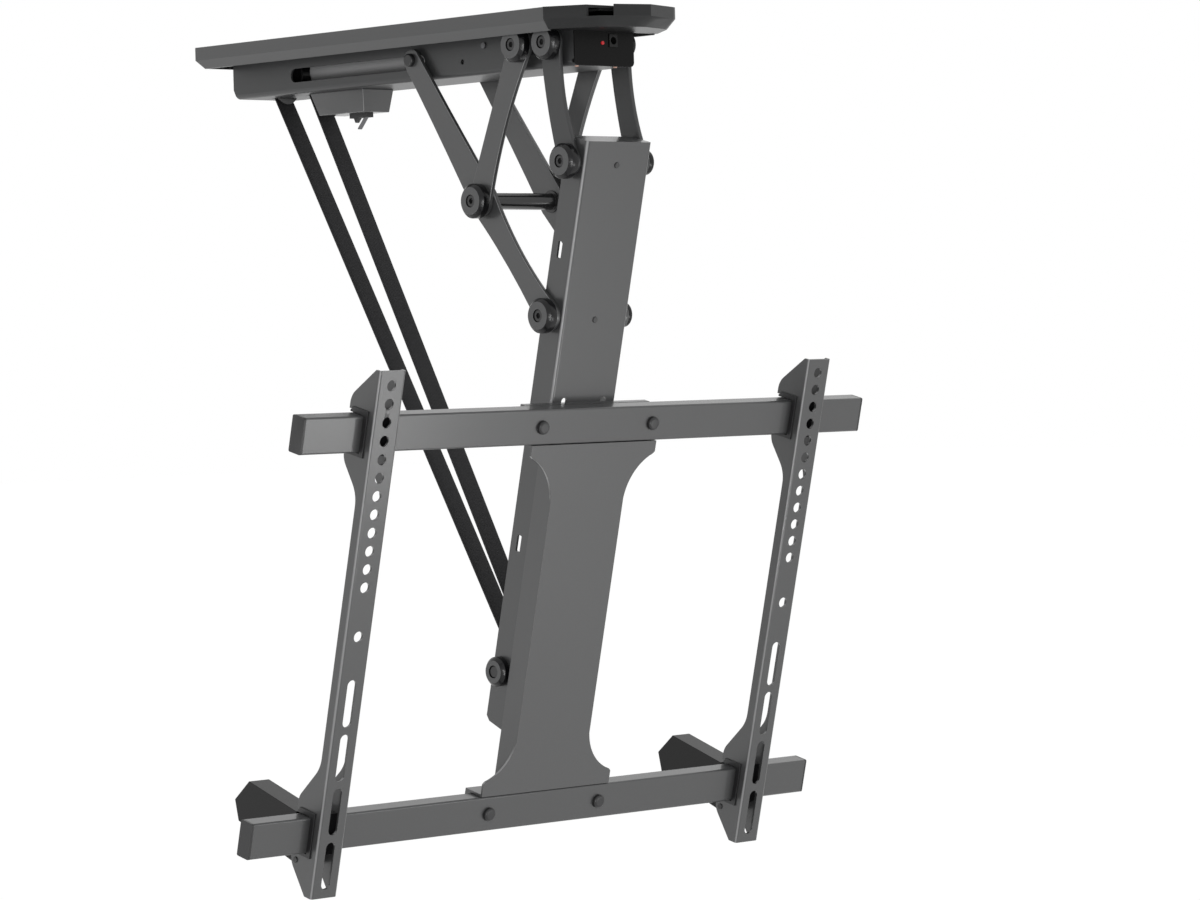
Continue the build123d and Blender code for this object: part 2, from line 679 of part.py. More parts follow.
def axle_caps():
    return pair(lambda: cap_solid(PIVOT_K, MAST_HALF, AXLE_CAP_R, AXLE_CAP_HEIGHT, CAP_CHAMFER))


def spacers(at, outer):
    """Collars between the housing's sides and a link, one on each side."""
    def collar():
        ring = cross_pin(at, SPACER_R, -outer + SIDE_GAP, -HOUSING_HALF)
        return ring - cross_pin(at, HOLE_R, -outer, -HOUSING_HALF)
    return pair(collar)


# Links


def short_link():
    face = bowed_link(PIVOT_A, PIVOT_M, SHORT_END_R, SHORT_END_R, SHORT_WAIST, SHORT_BOW)
    face = drilled(face, (PIVOT_A, HOLE_R), (PIVOT_M, HOLE_R))
    return side_profile(face, -OUTER_OUT, -OUTER_IN)


def long_link():
    upper = bowed_link(SLOT_PIN, PIVOT_M, LONG_TOP_R, LONG_MIDDLE_R, LONG_TOP_WAIST, 0)
    lower = bowed_link(PIVOT_M, PIVOT_L, LONG_MIDDLE_R, LONG_BOTTOM_R, LONG_LOW_WAIST, LONG_LOW_BOW)
    face = drilled(upper + lower, (SLOT_PIN, SLOT_PIN_R), (PIVOT_M, HOLE_R), (PIVOT_L, HOLE_R))
    return side_profile(face, -LINK_OUT, -LINK_IN)


def front_link():
    face = bowed_link(PIVOT_B, PIVOT_T, FRONT_END_R, FRONT_END_R, FRONT_WAIST, FRONT_BOW)
    face = drilled(face, (PIVOT_B, HOLE_R), (PIVOT_T, HOLE_R))
    return side_profile(face, -LINK_OUT, -LINK_IN)


def slot_pins():
    """Headed pins of the long links, which run in the housing's slots."""
    def pin():
        head = cross_pin(SLOT_PIN, SLOT_PIN_HEAD_R, -LINK_OUT - SLOT_PIN_HEAD, -LINK_OUT)
        edge = head.edges().filter_by(GeomType.CIRCLE).sort_by(Axis.X)[0]
        head = fillet(edge, SLOT_PIN_HEAD / 3)
        return head + cross_pin(SLOT_PIN, SLOT_PIN_R, -LINK_OUT, -HOUSING_HALF + SHEET + SLOT_PIN_INSIDE)
    return pair(pin)


def cross_rod():
    rod = cross_pin(PIVOT_M, CROSS_ROD_R, -LINK_IN, LINK_IN)
    for side in (-1, 1):
        x = sorted((side * LINK_IN, side * (LINK_IN - CROSS_COLLAR)))
        rod += cross_pin(PIVOT_M, CROSS_COLLAR_R, *x)
        x = sorted((side * LINK_IN, side * (LINK_IN - CROSS_THREAD_DEPTH)))
        rod -= cross_pin(PIVOT_M, HOLE_R, *x)
    return rod


# Mast


def mast_side():
    """Side view of the mast, in its own frame, as a face in the side plane."""
    front, back = -MAST_FRONT_W, -MAST_BACK_W
    return polygon((front, -MAST_TOP_V), (back, -MAST_TOP_V), (back, -MAST_BOTTOM_V + 2 * MAST_HEEL),
                   (back - MAST_HEEL, -MAST_BOTTOM_V + MAST_HEEL), (front, -MAST_BOTTOM_V))


def front_edges(body):
    """The two upright edges at the front of a shape that is drawn upright."""
    return body.edges().filter_by(Axis.Z).sort_by(Axis.Y)[:2]


def mast():
    body = side_profile(mast_side(), -MAST_HALF, MAST_HALF)
    body = fillet(front_edges(body), FOLD_R)
    inner = MAST_HALF - SHEET
    body -= mast_box((-inner, inner), (MAST_TOP_V + SHEET, MAST_BOTTOM_V),
                     (2 * MAST_BACK_W, MAST_FRONT_W - SHEET))
    for v in (0, MAST_PIVOT_SPAN, AXLE_V):
        body -= cross_pin((0, -v), HOLE_R, -MAST_HALF, MAST_HALF)
    for v in MAST_SIDE_SLOT_V:
        slot = Pos(0, -v) * RectangleRounded(MAST_SIDE_SLOT_WIDTH, MAST_SIDE_SLOT_LENGTH, MAST_SIDE_SLOT_R)
        body -= side_profile(slot, -MAST_HALF, MAST_HALF)
    for x in (-MAST_FACE_HOLE_X, MAST_FACE_HOLE_X):
        hole = Plane.XZ * (Pos(x, -MAST_FACE_HOLE_V) * Circle(MAST_FACE_HOLE_R))
        body -= extrude(hole, 2 * MAST_FRONT_W)
    return tilted(body)


def mast_screws():
    """Two small screw heads on the mast's front face."""
    heads = []
    for v in MAST_SCREW_V:
        disc = Plane.XZ * (Pos(0, -v) * Circle(MAST_SCREW_R))
        heads.append(tilted(Pos(0, -MAST_FRONT_W, 0) * extrude(disc, MAST_SCREW_HEIGHT)))
    return Compound(children=heads)


def bar(top_v):
    """Rectangular tube across the mast, with bores for its two screws."""
    v = (top_v, top_v + BAR_HEIGHT)
    w = (BAR_BACK_W, BAR_BACK_W + BAR_DEPTH)
    body = mast_box((-BAR_HALF, BAR_HALF), v, w)
    body = fillet(body.edges().filter_by(Axis.X), BAR_FOLD_R)
    inside = (w[0] + BAR_WALL, w[1] - BAR_WALL)
    body -= mast_box((-BAR_HALF, BAR_HALF), (v[0] + BAR_WALL, v[1] - BAR_WALL), inside)
    for x in (-BAR_SCREW_X, BAR_SCREW_X):
        hole = Plane.XZ * (Pos(x, -(top_v + BAR_HEIGHT / 2)) * Circle(BAR_SCREW_R + RUN_CLEARANCE))
        body -= extrude(hole, 3 * MAST_FRONT_W)
    return tilted(body)


def bar_plugs(top_v):
    """Closed ends of a bar: a plate over the tube's end with a plug inside it."""
    v = (top_v, top_v + BAR_HEIGHT)
    w = (BAR_BACK_W, BAR_BACK_W + BAR_DEPTH)
    gap = BAR_WALL + SIDE_GAP / 2

    def plug():
        out = mast_box((-BAR_HALF - BAR_PLUG, -BAR_HALF), v, w)
        out = fillet(out.edges().filter_by(Axis.X), BAR_FOLD_R)
        return tilted(out + mast_box((-BAR_HALF, -BAR_HALF + BAR_PLUG_DEPTH),
                                     (v[0] + gap, v[1] - gap), (w[0] + gap, w[1] - gap)))
    return pair(plug)


def bar_screws():
    """Pan-head screws that hold the bars to the saddle plate and the mast."""
    front = BAR_BACK_W + BAR_DEPTH
    screws = []
    for top_v in (TOP_BAR_V, LOW_BAR_V):
        for x in (-BAR_SCREW_X, BAR_SCREW_X):
            place = Pos(x, 0, -(top_v + BAR_HEIGHT / 2))
            head = Pos(0, -front, 0) * extrude(Plane.XZ * Circle(BAR_SCREW_HEAD_R), BAR_SCREW_HEAD)
            edge = head.edges().filter_by(GeomType.CIRCLE).sort_by(Axis.Y)[0]
            head = fillet(edge, BAR_SCREW_HEAD * 0.6)
            shank = Pos(0, -front, 0) * extrude(Plane.XZ * Circle(BAR_SCREW_R), -(BAR_DEPTH + SADDLE_SHEET))
            screws.append(tilted(place * (head + shank)))
    return Compound(children=screws)


def saddle_half():
    """Right half of the saddle plate's outline, in the mast's frame, from top to bottom."""
    top = TOP_BAR_V + BAR_HEIGHT + SADDLE_GAP
    low = LOW_BAR_V - SADDLE_GAP
    t1, t2 = top + SADDLE_TOP_TAB, top + SADDLE_TOP_SHOULDER
    b2, b1 = low - SADDLE_LOW_SHOULDER, low - SADDLE_LOW_TAB
    nib, bow = SADDLE_NIB, SADDLE_BOW
    upper_x = (SADDLE_TOP_HALF + SADDLE_WAIST) / 2 - bow
    lower_x = (SADDLE_LOW_HALF + SADDLE_WAIST) / 2 - bow
    upper = ThreePointArc((SADDLE_TOP_HALF - nib, -t1), (upper_x, 2 * nib - (t1 + t2) / 2),
                          (SADDLE_WAIST, -t2))
    lower = ThreePointArc((SADDLE_WAIST, -b2), (lower_x, -(b1 + b2) / 2 - 2 * nib),
                          (SADDLE_LOW_HALF - nib, -b1))
    outline = [Line((0, -top), (SADDLE_TOP_HALF, -top)),
               Line((SADDLE_TOP_HALF, -top), (SADDLE_TOP_HALF, nib - t1)),
               Line((SADDLE_TOP_HALF, nib - t1), upper @ 0), upper, Line(upper @ 1, lower @ 0), lower,
               Line(lower @ 1, (SADDLE_LOW_HALF, -b1 - nib)),
               Line((SADDLE_LOW_HALF, -b1 - nib), (SADDLE_LOW_HALF, -low)),
               Line((SADDLE_LOW_HALF, -low), (0, -low)), Line((0, -low), (0, -top))]
    return closed(outline)


def saddle_plate():
    front = BAR_BACK_W + BAR_DEPTH
    top = TOP_BAR_V + BAR_HEIGHT + SADDLE_GAP
    low = LOW_BAR_V - SADDLE_GAP
    face = saddle_half() + mirror(saddle_half(), Plane.YZ)
    plate = Pos(0, -front, 0) * extrude(Plane.XZ * face, -SADDLE_SHEET)
    behind = (MAST_FRONT_W, front)
    plate += mast_box((-SADDLE_TOP_HALF, SADDLE_TOP_HALF), (top, top + SADDLE_SHEET), behind)
    plate += mast_box((-SADDLE_LOW_HALF, SADDLE_LOW_HALF), (low - SADDLE_SHEET, low), behind)
    hold = (MAST_FRONT_W, BAR_BACK_W)
    plate += mast_box((-SADDLE_TOP_HALF, SADDLE_TOP_HALF), (TOP_BAR_V, top + SADDLE_SHEET), hold)
    plate += mast_box((-SADDLE_LOW_HALF, SADDLE_LOW_HALF), (low - SADDLE_SHEET, LOW_BAR_V + BAR_HEIGHT), hold)
    for x in (-SADDLE_WAIST, SADDLE_WAIST - SADDLE_SHEET):
        plate += mast_box((x, x + SADDLE_SHEET), (top, low), behind)
    for x in (-BAR_SCREW_X, BAR_SCREW_X):
        for v in (TOP_BAR_V, LOW_BAR_V):
            hole = Plane.XZ * (Pos(x, -(v + BAR_HEIGHT / 2)) * Circle(BAR_SCREW_R + RUN_CLEARANCE))
            plate -= extrude(hole, BAR_BACK_W + SIDE_GAP)
    return tilted(plate)


# Television arms


def arm_side():
    """Side view of an arm with its two lobes, as a face in the mast's frame."""
    front, flange, back = -ARM_FRONT_W, ARM_FLANGE - ARM_FRONT_W, -LOBE_BACK_W
    top_start = -TOP_BAR_V + TOP_LOBE_RISE
    top_end = -TOP_BAR_V - BAR_HEIGHT - TOP_LOBE_DROP
    low_start = -LOW_BAR_V + LOW_LOBE_RISE
    low_end = -LOW_BAR_V - BAR_HEIGHT - LOW_LOBE_DROP
    lobes = [(back, top_start), (back, top_end), (back, low_start), (back, low_end)]
    eases = [(flange, top_end - TOP_LOBE_EASE), (flange, low_start + LOW_LOBE_EASE)]
    face = polygon((front, -ARM_TOP_V), (front + ARM_TOP_FLAT, -ARM_TOP_V), *lobes[:2], *eases, *lobes[2:],
                   (front + ARM_FOOT_FLAT, -ARM_BOTTOM_V), (front, -ARM_BOTTOM_V))
    return rounded_at(rounded_at(face, lobes, LOBE_CORNER_R), eases, LOBE_EASE_R)


def liner_limits(top_v, wall):
    """Limits of the room round a bar, or of the liner's outside with a wall added."""
    gap = LINER_GAP + wall
    v = (top_v - gap, top_v + BAR_HEIGHT + gap)
    return v, (-2 * ARM_FRONT_W, BAR_BACK_W + BAR_DEPTH + gap)


def arm():
    """Left television arm."""
    x0, x1 = -ARM_HALF, ARM_HALF
    body = side_profile(arm_side(), x0, x1)
    body = fillet(front_edges(body), ARM_FOLD_R)
    inner = ARM_HALF - ARM_SHEET
    body -= mast_box((-inner, inner), (ARM_TOP_V, ARM_BOTTOM_V), (0, ARM_FRONT_W - ARM_SHEET))
    for top_v in (TOP_BAR_V, LOW_BAR_V):
        v, w = liner_limits(top_v, LINER_WALL)
        body -= mast_box((x0, x1), v, w)
    for k in range(ARM_HOLE_COUNT):
        body -= face_hole(Circle(ARM_HOLE_R), ARM_HOLE_V + k * ARM_HOLE_PITCH)
    body -= face_hole(Circle(ARM_HOLE_R), ARM_SINGLE_V)
    for start, end in ARM_SLOTS:
        slot = Rot(0, 0, 90) * SlotOverall(end - start, 2 * ARM_HOLE_R)
        body -= face_hole(slot, (start + end) / 2)
    body -= cross_pin((-LOCK_PIVOT_W, -LOCK_PIVOT_V), LOCK_PIN_R, x0, x1)
    return tilted(Pos(-ARM_X, 0, 0) * body)


def face_hole(face, v):
    """Cutter through the arm's front face, centred at v."""
    return extrude(Plane.XZ * (Pos(0, -v) * face), ARM_FRONT_W + ARM_SHEET) - mast_box(
        (-2 * ARM_HALF, 2 * ARM_HALF), (0, 2 * ARM_BOTTOM_V), (-1, ARM_FRONT_W - ARM_SHEET - 1))


def liner(top_v):
    """Plastic liner of an arm round one bar, open to the back, with a rim on both sides."""
    v_in, w_in = liner_limits(top_v, 0)
    v_out, w_out = liner_limits(top_v, LINER_WALL)
    x = (-ARM_HALF - LINER_PROUD, ARM_HALF + LINER_PROUD)
    body = mast_box(x, v_out, (BAR_BACK_W - LINER_PROUD, w_out[1]))
    for side in (-1, 1):
        rim_x = sorted((side * ARM_HALF, side * (ARM_HALF + LINER_PROUD)))
        rim_v = (v_out[0] - LINER_FLANGE, v_out[1] + LINER_LOW_FLANGE)
        body += mast_box(rim_x, rim_v, (BAR_BACK_W, w_out[1] + LINER_FLANGE))
    body -= mast_box(x, v_in, w_in)
    return tilted(Pos(-ARM_X, 0, 0) * body)


def lock_lever():
    half = ARM_HALF - ARM_SHEET - LOCK_SIDE_GAP
    eye = (-LOCK_PIVOT_W, -LOCK_PIVOT_V)
    inner = -LOCK_TOP_INNER[0]
    blade = polygon((-LOCK_TIP[0], -LOCK_TIP[1]), (-LOCK_TOP[0], -LOCK_TOP[1]),
                    (inner, -LOCK_TOP_INNER[1]), (inner, eye[1] + LOCK_EYE_R),
                    (eye[0], eye[1] + LOCK_EYE_R), (eye[0], eye[1] - LOCK_EYE_R),
                    (-LOCK_LOW[0], -LOCK_LOW[1]))
    face = blade + Pos(*eye) * Circle(LOCK_EYE_R)
    face -= Pos(*eye) * Circle(LOCK_PIN_R + RUN_CLEARANCE)
    return tilted(Pos(-ARM_X, 0, 0) * side_profile(face, -half, half))


def lock_pin():
    pin = cross_pin((-LOCK_PIVOT_W, -LOCK_PIVOT_V), LOCK_PIN_R, -ARM_HALF - 1, ARM_HALF + 1)
    return tilted(Pos(-ARM_X, 0, 0) * pin)


# Lifting strap


def strap_roller():
    at = (0, -AXLE_V)
    body = cross_pin(at, ROLLER_R, -ROLLER_HALF, ROLLER_HALF)
    for x in (-ROLLER_HALF - ROLLER_FLANGE, ROLLER_HALF):
        body += cross_pin(at, ROLLER_FLANGE_R, x, x + ROLLER_FLANGE)
    return tilted(body - cross_pin(at, BOLT_R + ROLLER_BORE_CLEARANCE, -2 * ROLLER_HALF, 2 * ROLLER_HALF))


def strap_axle():
    """Axle of the strap roller, with a head in the cap of each side."""
    at = PIVOT_K
    seat = MAST_HALF + CAP_WASHER + AXLE_CAP_HEIGHT - CAP_RECESS_DEPTH
    head_out = seat + BOLT_HEAD_HEIGHT
    axle = cross_pin(at, BOLT_R, -seat, seat)
    for x in ((-head_out, -seat), (seat, head_out)):
        axle += cross_pin(at, BOLT_HEAD_R, *x)
    return axle


def tangent_angle(outside, centre, r, side):
    """Direction from the centre to where a line from outside touches the circle, in degrees."""
    dx, dy = outside[0] - centre[0], outside[1] - centre[1]
    reach = sqrt(dx * dx + dy * dy - r * r)
    return degrees(atan2(dy, dx) + side * atan2(reach, r))


def strap():
    """Webbing from the housing down round the roller and back, as one flat solid."""
    middle = ROLLER_R + STRAP_GAP + STRAP_THICK / 2
    front_top = (STRAP_TOP_Y[0], STRAP_TOP_Z)
    back_top = (STRAP_TOP_Y[1], STRAP_TOP_Z)
    front = tangent_angle(front_top, PIVOT_K, middle, 1)
    back = tangent_angle(back_top, PIVOT_K, middle, -1)
    faces = []
    for off in (STRAP_THICK / 2, -STRAP_THICK / 2):
        arc = CenterArc(PIVOT_K, middle + off, front, (back - front) % 360)
        start = shifted(front_top, front, off)
        end = shifted(back_top, back, off)
        faces.append(closed([Line(start, arc @ 0), arc, Line(arc @ 1, end), Line(end, start)]))
    return side_profile(faces[0] - faces[1], -STRAP_WIDTH / 2, STRAP_WIDTH / 2)


def shifted(place, angle, distance):
    """Point moved by a distance in the given direction."""
    return (place[0] + distance * cos(radians(angle)), place[1] + distance * sin(radians(angle)))


def save(name, shape):
    export_step(shape, os.path.join("parts", name + ".step"))


def save_sides(name, make):
    """Save a left piece and its mirrored right piece."""
    left, right = both_sides(make)
    save(name + "_left", left)
    save(name + "_right", right)


def main():
    os.makedirs("parts", exist_ok=True)
    single = {
        "ceiling_plate": ceiling_plate, "nose_cover": nose_cover, "housing": housing,
        "front_panel": front_panel, "dc_jack": dc_jack, "status_led": status_led,
        "receiver_lamps": receiver_lamps, "gear_motor": gear_motor, "gearbox": gearbox,
        "motor_bracket": motor_bracket, "control_board": control_board, "spool": spool,
        "strap_lips": strap_lips, "switch_box": switch_box, "microswitch": microswitch,
        "switch_lever": switch_lever, "side_screws": side_screws, "slot_pins": slot_pins,
        "cross_rod": cross_rod, "mast": mast, "mast_screws": mast_screws,
        "bar_screws": bar_screws, "saddle_plate": saddle_plate, "strap_roller": strap_roller,
        "strap_axle": strap_axle, "strap": strap}
    for name, make in single.items():
        save(name, make())
    save("spacers_rear", spacers(PIVOT_A, OUTER_IN))
    save("spacers_front", spacers(PIVOT_B, LINK_IN))
    inside = HOUSING_HALF - SHEET
    save("caps_rear", caps(PIVOT_A, OUTER_OUT))
    save("bolts_rear", bolts(PIVOT_A, OUTER_OUT, inside, True))
    save("caps_front", caps(PIVOT_B, LINK_OUT))
    save("bolts_front", bolts(PIVOT_B, LINK_OUT, inside, True))
    save("caps_elbow", caps(PIVOT_M, OUTER_OUT))
    save("bolts_elbow", bolts(PIVOT_M, OUTER_OUT, LINK_IN - CROSS_THREAD_DEPTH, False))
    save("caps_mast_top", caps(PIVOT_T, LINK_OUT))
    save("bolts_mast_top", bolts(PIVOT_T, LINK_OUT, LINK_IN, False))
    save("caps_mast_mid", caps(PIVOT_L, LINK_OUT))
    save("bolts_mast_mid", bolts(PIVOT_L, LINK_OUT, MAST_HALF - SHEET, True))
    save("caps_axle", axle_caps())
    save("top_bar", bar(TOP_BAR_V))
    save("low_bar", bar(LOW_BAR_V))
    save("top_bar_plugs", bar_plugs(TOP_BAR_V))
    save("low_bar_plugs", bar_plugs(LOW_BAR_V))
    save_sides("short_link", short_link)
    save_sides("long_link", long_link)
    save_sides("front_link", front_link)
    save_sides("tv_arm", arm)
    save_sides("top_liner", lambda: liner(TOP_BAR_V))
    save_sides("low_liner", lambda: liner(LOW_BAR_V))
    save_sides("lock_lever", lock_lever)
    save_sides("lock_pin", lock_pin)


main()
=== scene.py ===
# %% [markdown]
# # A motorised television mount that folds down from a ceiling
#
# The mount is a shallow steel tray under the ceiling, a motor housing below it, and a long channel,
# the mast, that swings down on flat links. Two bars cross the mast and carry slotted arms for the
# screen. A strap of webbing lifts the mast again. The steel parts come from the CAD model as they
# are. This file gives them their finish, and makes the strap anew, because it is soft and woven.

import json
import math

import bpy
import numpy as np
from mathutils import Matrix, Vector


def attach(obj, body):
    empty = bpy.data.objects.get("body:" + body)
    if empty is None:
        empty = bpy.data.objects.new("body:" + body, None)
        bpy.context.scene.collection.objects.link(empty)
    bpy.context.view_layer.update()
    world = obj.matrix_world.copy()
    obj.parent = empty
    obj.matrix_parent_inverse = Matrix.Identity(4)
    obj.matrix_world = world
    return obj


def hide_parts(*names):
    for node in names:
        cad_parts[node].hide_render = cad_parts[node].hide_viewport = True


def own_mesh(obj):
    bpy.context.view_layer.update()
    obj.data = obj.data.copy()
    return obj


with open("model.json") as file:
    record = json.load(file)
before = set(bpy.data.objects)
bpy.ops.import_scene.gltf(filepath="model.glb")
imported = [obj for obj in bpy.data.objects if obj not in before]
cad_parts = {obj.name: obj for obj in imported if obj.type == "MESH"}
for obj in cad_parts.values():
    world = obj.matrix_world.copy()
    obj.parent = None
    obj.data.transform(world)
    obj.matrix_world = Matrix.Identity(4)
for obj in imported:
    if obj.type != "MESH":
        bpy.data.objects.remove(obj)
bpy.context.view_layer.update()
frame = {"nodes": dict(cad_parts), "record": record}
nodes = frame["nodes"]

# %% [markdown]
# ## Two frames
#
# Everything is in metres, with the origin in the middle of the tray's top. The mast hangs 14 degrees
# off the vertical, so its own pieces are easier to think of with v down the mast and w out to the
# viewer, both from the front pivot. One function turns such a place into the model's frame.

# %% The mast's own frame
MM = 0.001
FRONT_PIVOT = np.array([0.0, -201.0, -125.0]) * MM
MAST_TILT = math.radians(14.0)


def on_mast(x, v, w):
    """Model place of x, v, w in millimetres: the pivot, plus v down the mast, plus w out of it."""
    x, v, w = np.broadcast_arrays(np.asarray(x, float), v, w)
    y = v * math.sin(MAST_TILT) - w * math.cos(MAST_TILT)
    z = -v * math.cos(MAST_TILT) - w * math.sin(MAST_TILT)
    return np.stack([x, y, z], -1) * MM + FRONT_PIVOT


MAST_FOOT_V = 484.0
print("foot of the mast", on_mast(0, MAST_FOOT_V, 0).round(3))

# %% [markdown]
# ## Camera
#
# The photograph was taken from a good distance with a long lens, a little above the middle of the
# mount, turned some 43 degrees to its side. The three directions below were fitted to the edges of the
# real object; together they make the camera's rotation, which has a trace of roll in it.

# %% Set up the camera
FOCAL_PX = 4304.2
PHOTO_WIDTH_PX = 1200
CAMERA_PLACE = Vector((-2422.5, -2801.7, -291.3)) * MM
RIGHT = Vector((0.73300, -0.67970, -0.02676))
DOWN = Vector((-0.03327, 0.00347, -0.99944))
AHEAD = Vector((0.67941, 0.73348, -0.02007))


def add_object(name, data):
    """Put a mesh, lamp or camera into the scene as an object at the origin."""
    made = bpy.data.objects.new(name, data)
    bpy.context.scene.collection.objects.link(made)
    return made


camera_data = bpy.data.cameras.new("photo_camera")
camera_data.sensor_width = 36.0
camera_data.lens = FOCAL_PX / PHOTO_WIDTH_PX * camera_data.sensor_width
camera_data.clip_start = 0.1
camera_data.clip_end = 200.0
camera = add_object("photo_camera", camera_data)
turn = Matrix((RIGHT, -DOWN, -AHEAD)).transposed()
camera.matrix_world = Matrix.Translation(CAMERA_PLACE) @ turn.to_4x4()
bpy.context.scene.camera = camera
print("lens", round(camera_data.lens, 1), "mm")

# %% [markdown]
# ## Small helpers for node trees
#
# Light and paint are both trees of nodes, and most of the nodes in them are plain arithmetic. They
# could be added one by one, with a line for each socket. Four helpers keep that short: one fills a
# socket, one adds a sum, one stretches a range, and one lays a colour over another.


# %% Fill sockets, sum, stretch and mix
def feed(tree, socket, value):
    """Link value into the socket when it is another node's output, or else set it as a constant."""
    if isinstance(value, bpy.types.NodeSocket):
        tree.links.new(value, socket)
    else:
        socket.default_value = value


def calc(tree, operation, *values):
    """Output of a new Math node that works on the values."""
    node = tree.nodes.new("ShaderNodeMath")
    node.operation = operation
    for socket, value in zip(node.inputs, values):
        feed(tree, socket, value)
    return node.outputs[0]


def ramp(tree, value, start, end, low=0.0, high=1.0):
    """Map Range node: start to end becomes low to high, and beyond them the result stays put."""
    node = tree.nodes.new("ShaderNodeMapRange")
    limits = {"Value": value, "From Min": start, "From Max": end, "To Min": low, "To Max": high}
    for name, limit in limits.items():
        feed(tree, node.inputs[name], limit)
    return node.outputs["Result"]


COLOUR_FACTOR, COLOUR_A, COLOUR_B, COLOUR_OUT = 0, 6, 7, 2


def overlay(tree, factor, under, over):
    """Colour between under, where the factor is 0, and over, where it is 1."""
    node = tree.nodes.new("ShaderNodeMix")
    node.data_type = "RGBA"
    for index, value in ((COLOUR_FACTOR, factor), (COLOUR_A, under), (COLOUR_B, over)):
        feed(tree, node.inputs[index], value)
    return node.outputs[COLOUR_OUT]


print("node helpers ready")

# %% [markdown]
# ## White room
#
# Dark satin paint shows what surrounds it more than its own colour. A white room gives it the soft
# pale sheen that it has in a catalogue picture. The room could be lit with more light, but then pale
# pieces would clip. So the camera and mirrors see pure white, while the light that falls on the
# object stays at a plain level.

# %% Colour the background
AMBIENT = 0.36
WHITE = (1.0, 1.0, 1.0, 1.0)
scene = bpy.context.scene
scene.view_settings.view_transform = "Standard"
world = bpy.data.worlds.new("white_room")
scene.world = world
world.use_nodes = True
room = world.node_tree
room.nodes.clear()
ray = room.nodes.new("ShaderNodeLightPath").outputs
sees_white = calc(room, "MAXIMUM", ray["Is Camera Ray"], ray["Is Glossy Ray"])
sees_white = calc(room, "MAXIMUM", ray["Is Transmission Ray"], sees_white)
choose = room.nodes.new("ShaderNodeMixShader")
room.links.new(sees_white, choose.inputs[0])
for index, strength in ((1, AMBIENT), (2, 1.0)):
    background = room.nodes.new("ShaderNodeBackground")
    background.inputs["Color"].default_value = WHITE
    background.inputs["Strength"].default_value = strength
    room.links.new(background.outputs[0], choose.inputs[index])
room_out = room.nodes.new("ShaderNodeOutputWorld")
room.links.new(choose.outputs[0], room_out.inputs[0])
print("ambient light", AMBIENT)

# %% [markdown]
# ## Surfaces as grids
#
# A sheet, a ribbon or a floor is a function of two parameters. Worked out on a grid of rows and
# columns, it becomes a mesh with a quad between each four neighbours. numpy does that for all the
# points at once, with no loop over them.


# %% Turn a grid of points into a mesh
def grid_mesh(name, points, tube=False):
    """Mesh over a rows x columns x 3 grid of points: a quad between each four neighbours.

    A tube joins its last column to its first, and has a face over each end.
    """
    rows, columns = points.shape[:2]
    i, j = np.meshgrid(np.arange(rows - 1), np.arange(columns if tube else columns - 1), indexing="ij")
    k, m = i + 1, (j + 1) % columns
    quads = np.stack([i * columns + j, k * columns + j, k * columns + m, i * columns + m], -1)
    faces = quads.reshape(-1, 4).tolist()
    if tube:
        ring = np.arange(columns)
        faces += [ring.tolist(), ((rows - 1) * columns + ring[::-1]).tolist()]
    mesh = bpy.data.meshes.new(name)
    mesh.from_pydata(points.reshape(-1, 3).tolist(), [], faces)
    mesh.update()
    return mesh


FLOOR_Z = -1.55
FLOOR_REACH = 40.0
reach = np.array([-FLOOR_REACH, FLOOR_REACH])
floor_x, floor_y = np.meshgrid(reach, reach, indexing="ij")
floor_points = np.stack([floor_x, floor_y, np.full_like(floor_x, FLOOR_Z)], -1)
floor = add_object("floor", grid_mesh("floor", floor_points))
print("floor at", FLOOR_Z)

# %% [markdown]
# ## Pale floor
#
# The studio's floor is a plain pale sheet that fades into the background. A plain diffuse floor would
# look grey against the white room. Here the camera and mirrors see mostly its own glow, and a tenth
# of the lit floor keeps the object's shadow on it.

# %% Paint the floor
FLOOR_GREY = (0.60, 0.60, 0.60, 1.0)
FLOOR_GLOW = 1.10
GLOW_SHARE = 0.9
floor_paint = bpy.data.materials.new("pale_floor")
floor_paint.use_nodes = True
pale = floor_paint.node_tree
pale.nodes.clear()
matt = pale.nodes.new("ShaderNodeBsdfDiffuse")
matt.inputs["Color"].default_value = FLOOR_GREY
glow = pale.nodes.new("ShaderNodeEmission")
glow.inputs["Color"].default_value = WHITE
glow.inputs["Strength"].default_value = FLOOR_GLOW
ray = pale.nodes.new("ShaderNodeLightPath").outputs
sees_glow = calc(pale, "MAXIMUM", ray["Is Camera Ray"], ray["Is Glossy Ray"])
floor_mix = pale.nodes.new("ShaderNodeMixShader")
pale.links.new(calc(pale, "MULTIPLY", sees_glow, GLOW_SHARE), floor_mix.inputs[0])
pale.links.new(matt.outputs[0], floor_mix.inputs[1])
pale.links.new(glow.outputs[0], floor_mix.inputs[2])
floor_out = pale.nodes.new("ShaderNodeOutputMaterial")
pale.links.new(floor_mix.outputs[0], floor_out.inputs[0])
floor.data.materials.append(floor_paint)
print("floor painted")

# %% [markdown]
# ## Lamps
#
# Three soft lamps model the shape. A tall narrow one near the camera draws a bright line along each
# rounded fold, a broad one in front lights the flat fronts, and a weak one from the side keeps the
# side faces from going black. Strong small lamps would do the same with hard shadows.


# %% Hang the lamps
def soft_lamp(name, place, target, size, power):
    """Area lamp at place, turned to look at target; size is its width and its height in metres."""
    data = bpy.data.lights.new(name, "AREA")
    data.shape = "RECTANGLE"
    data.size, data.size_y = size
    data.energy = power
    lamp = add_object(name, data)
    aim = (Vector(target) - Vector(place)).to_track_quat("-Z", "Y")
    lamp.matrix_world = Matrix.Translation(place) @ aim.to_matrix().to_4x4()
    return lamp


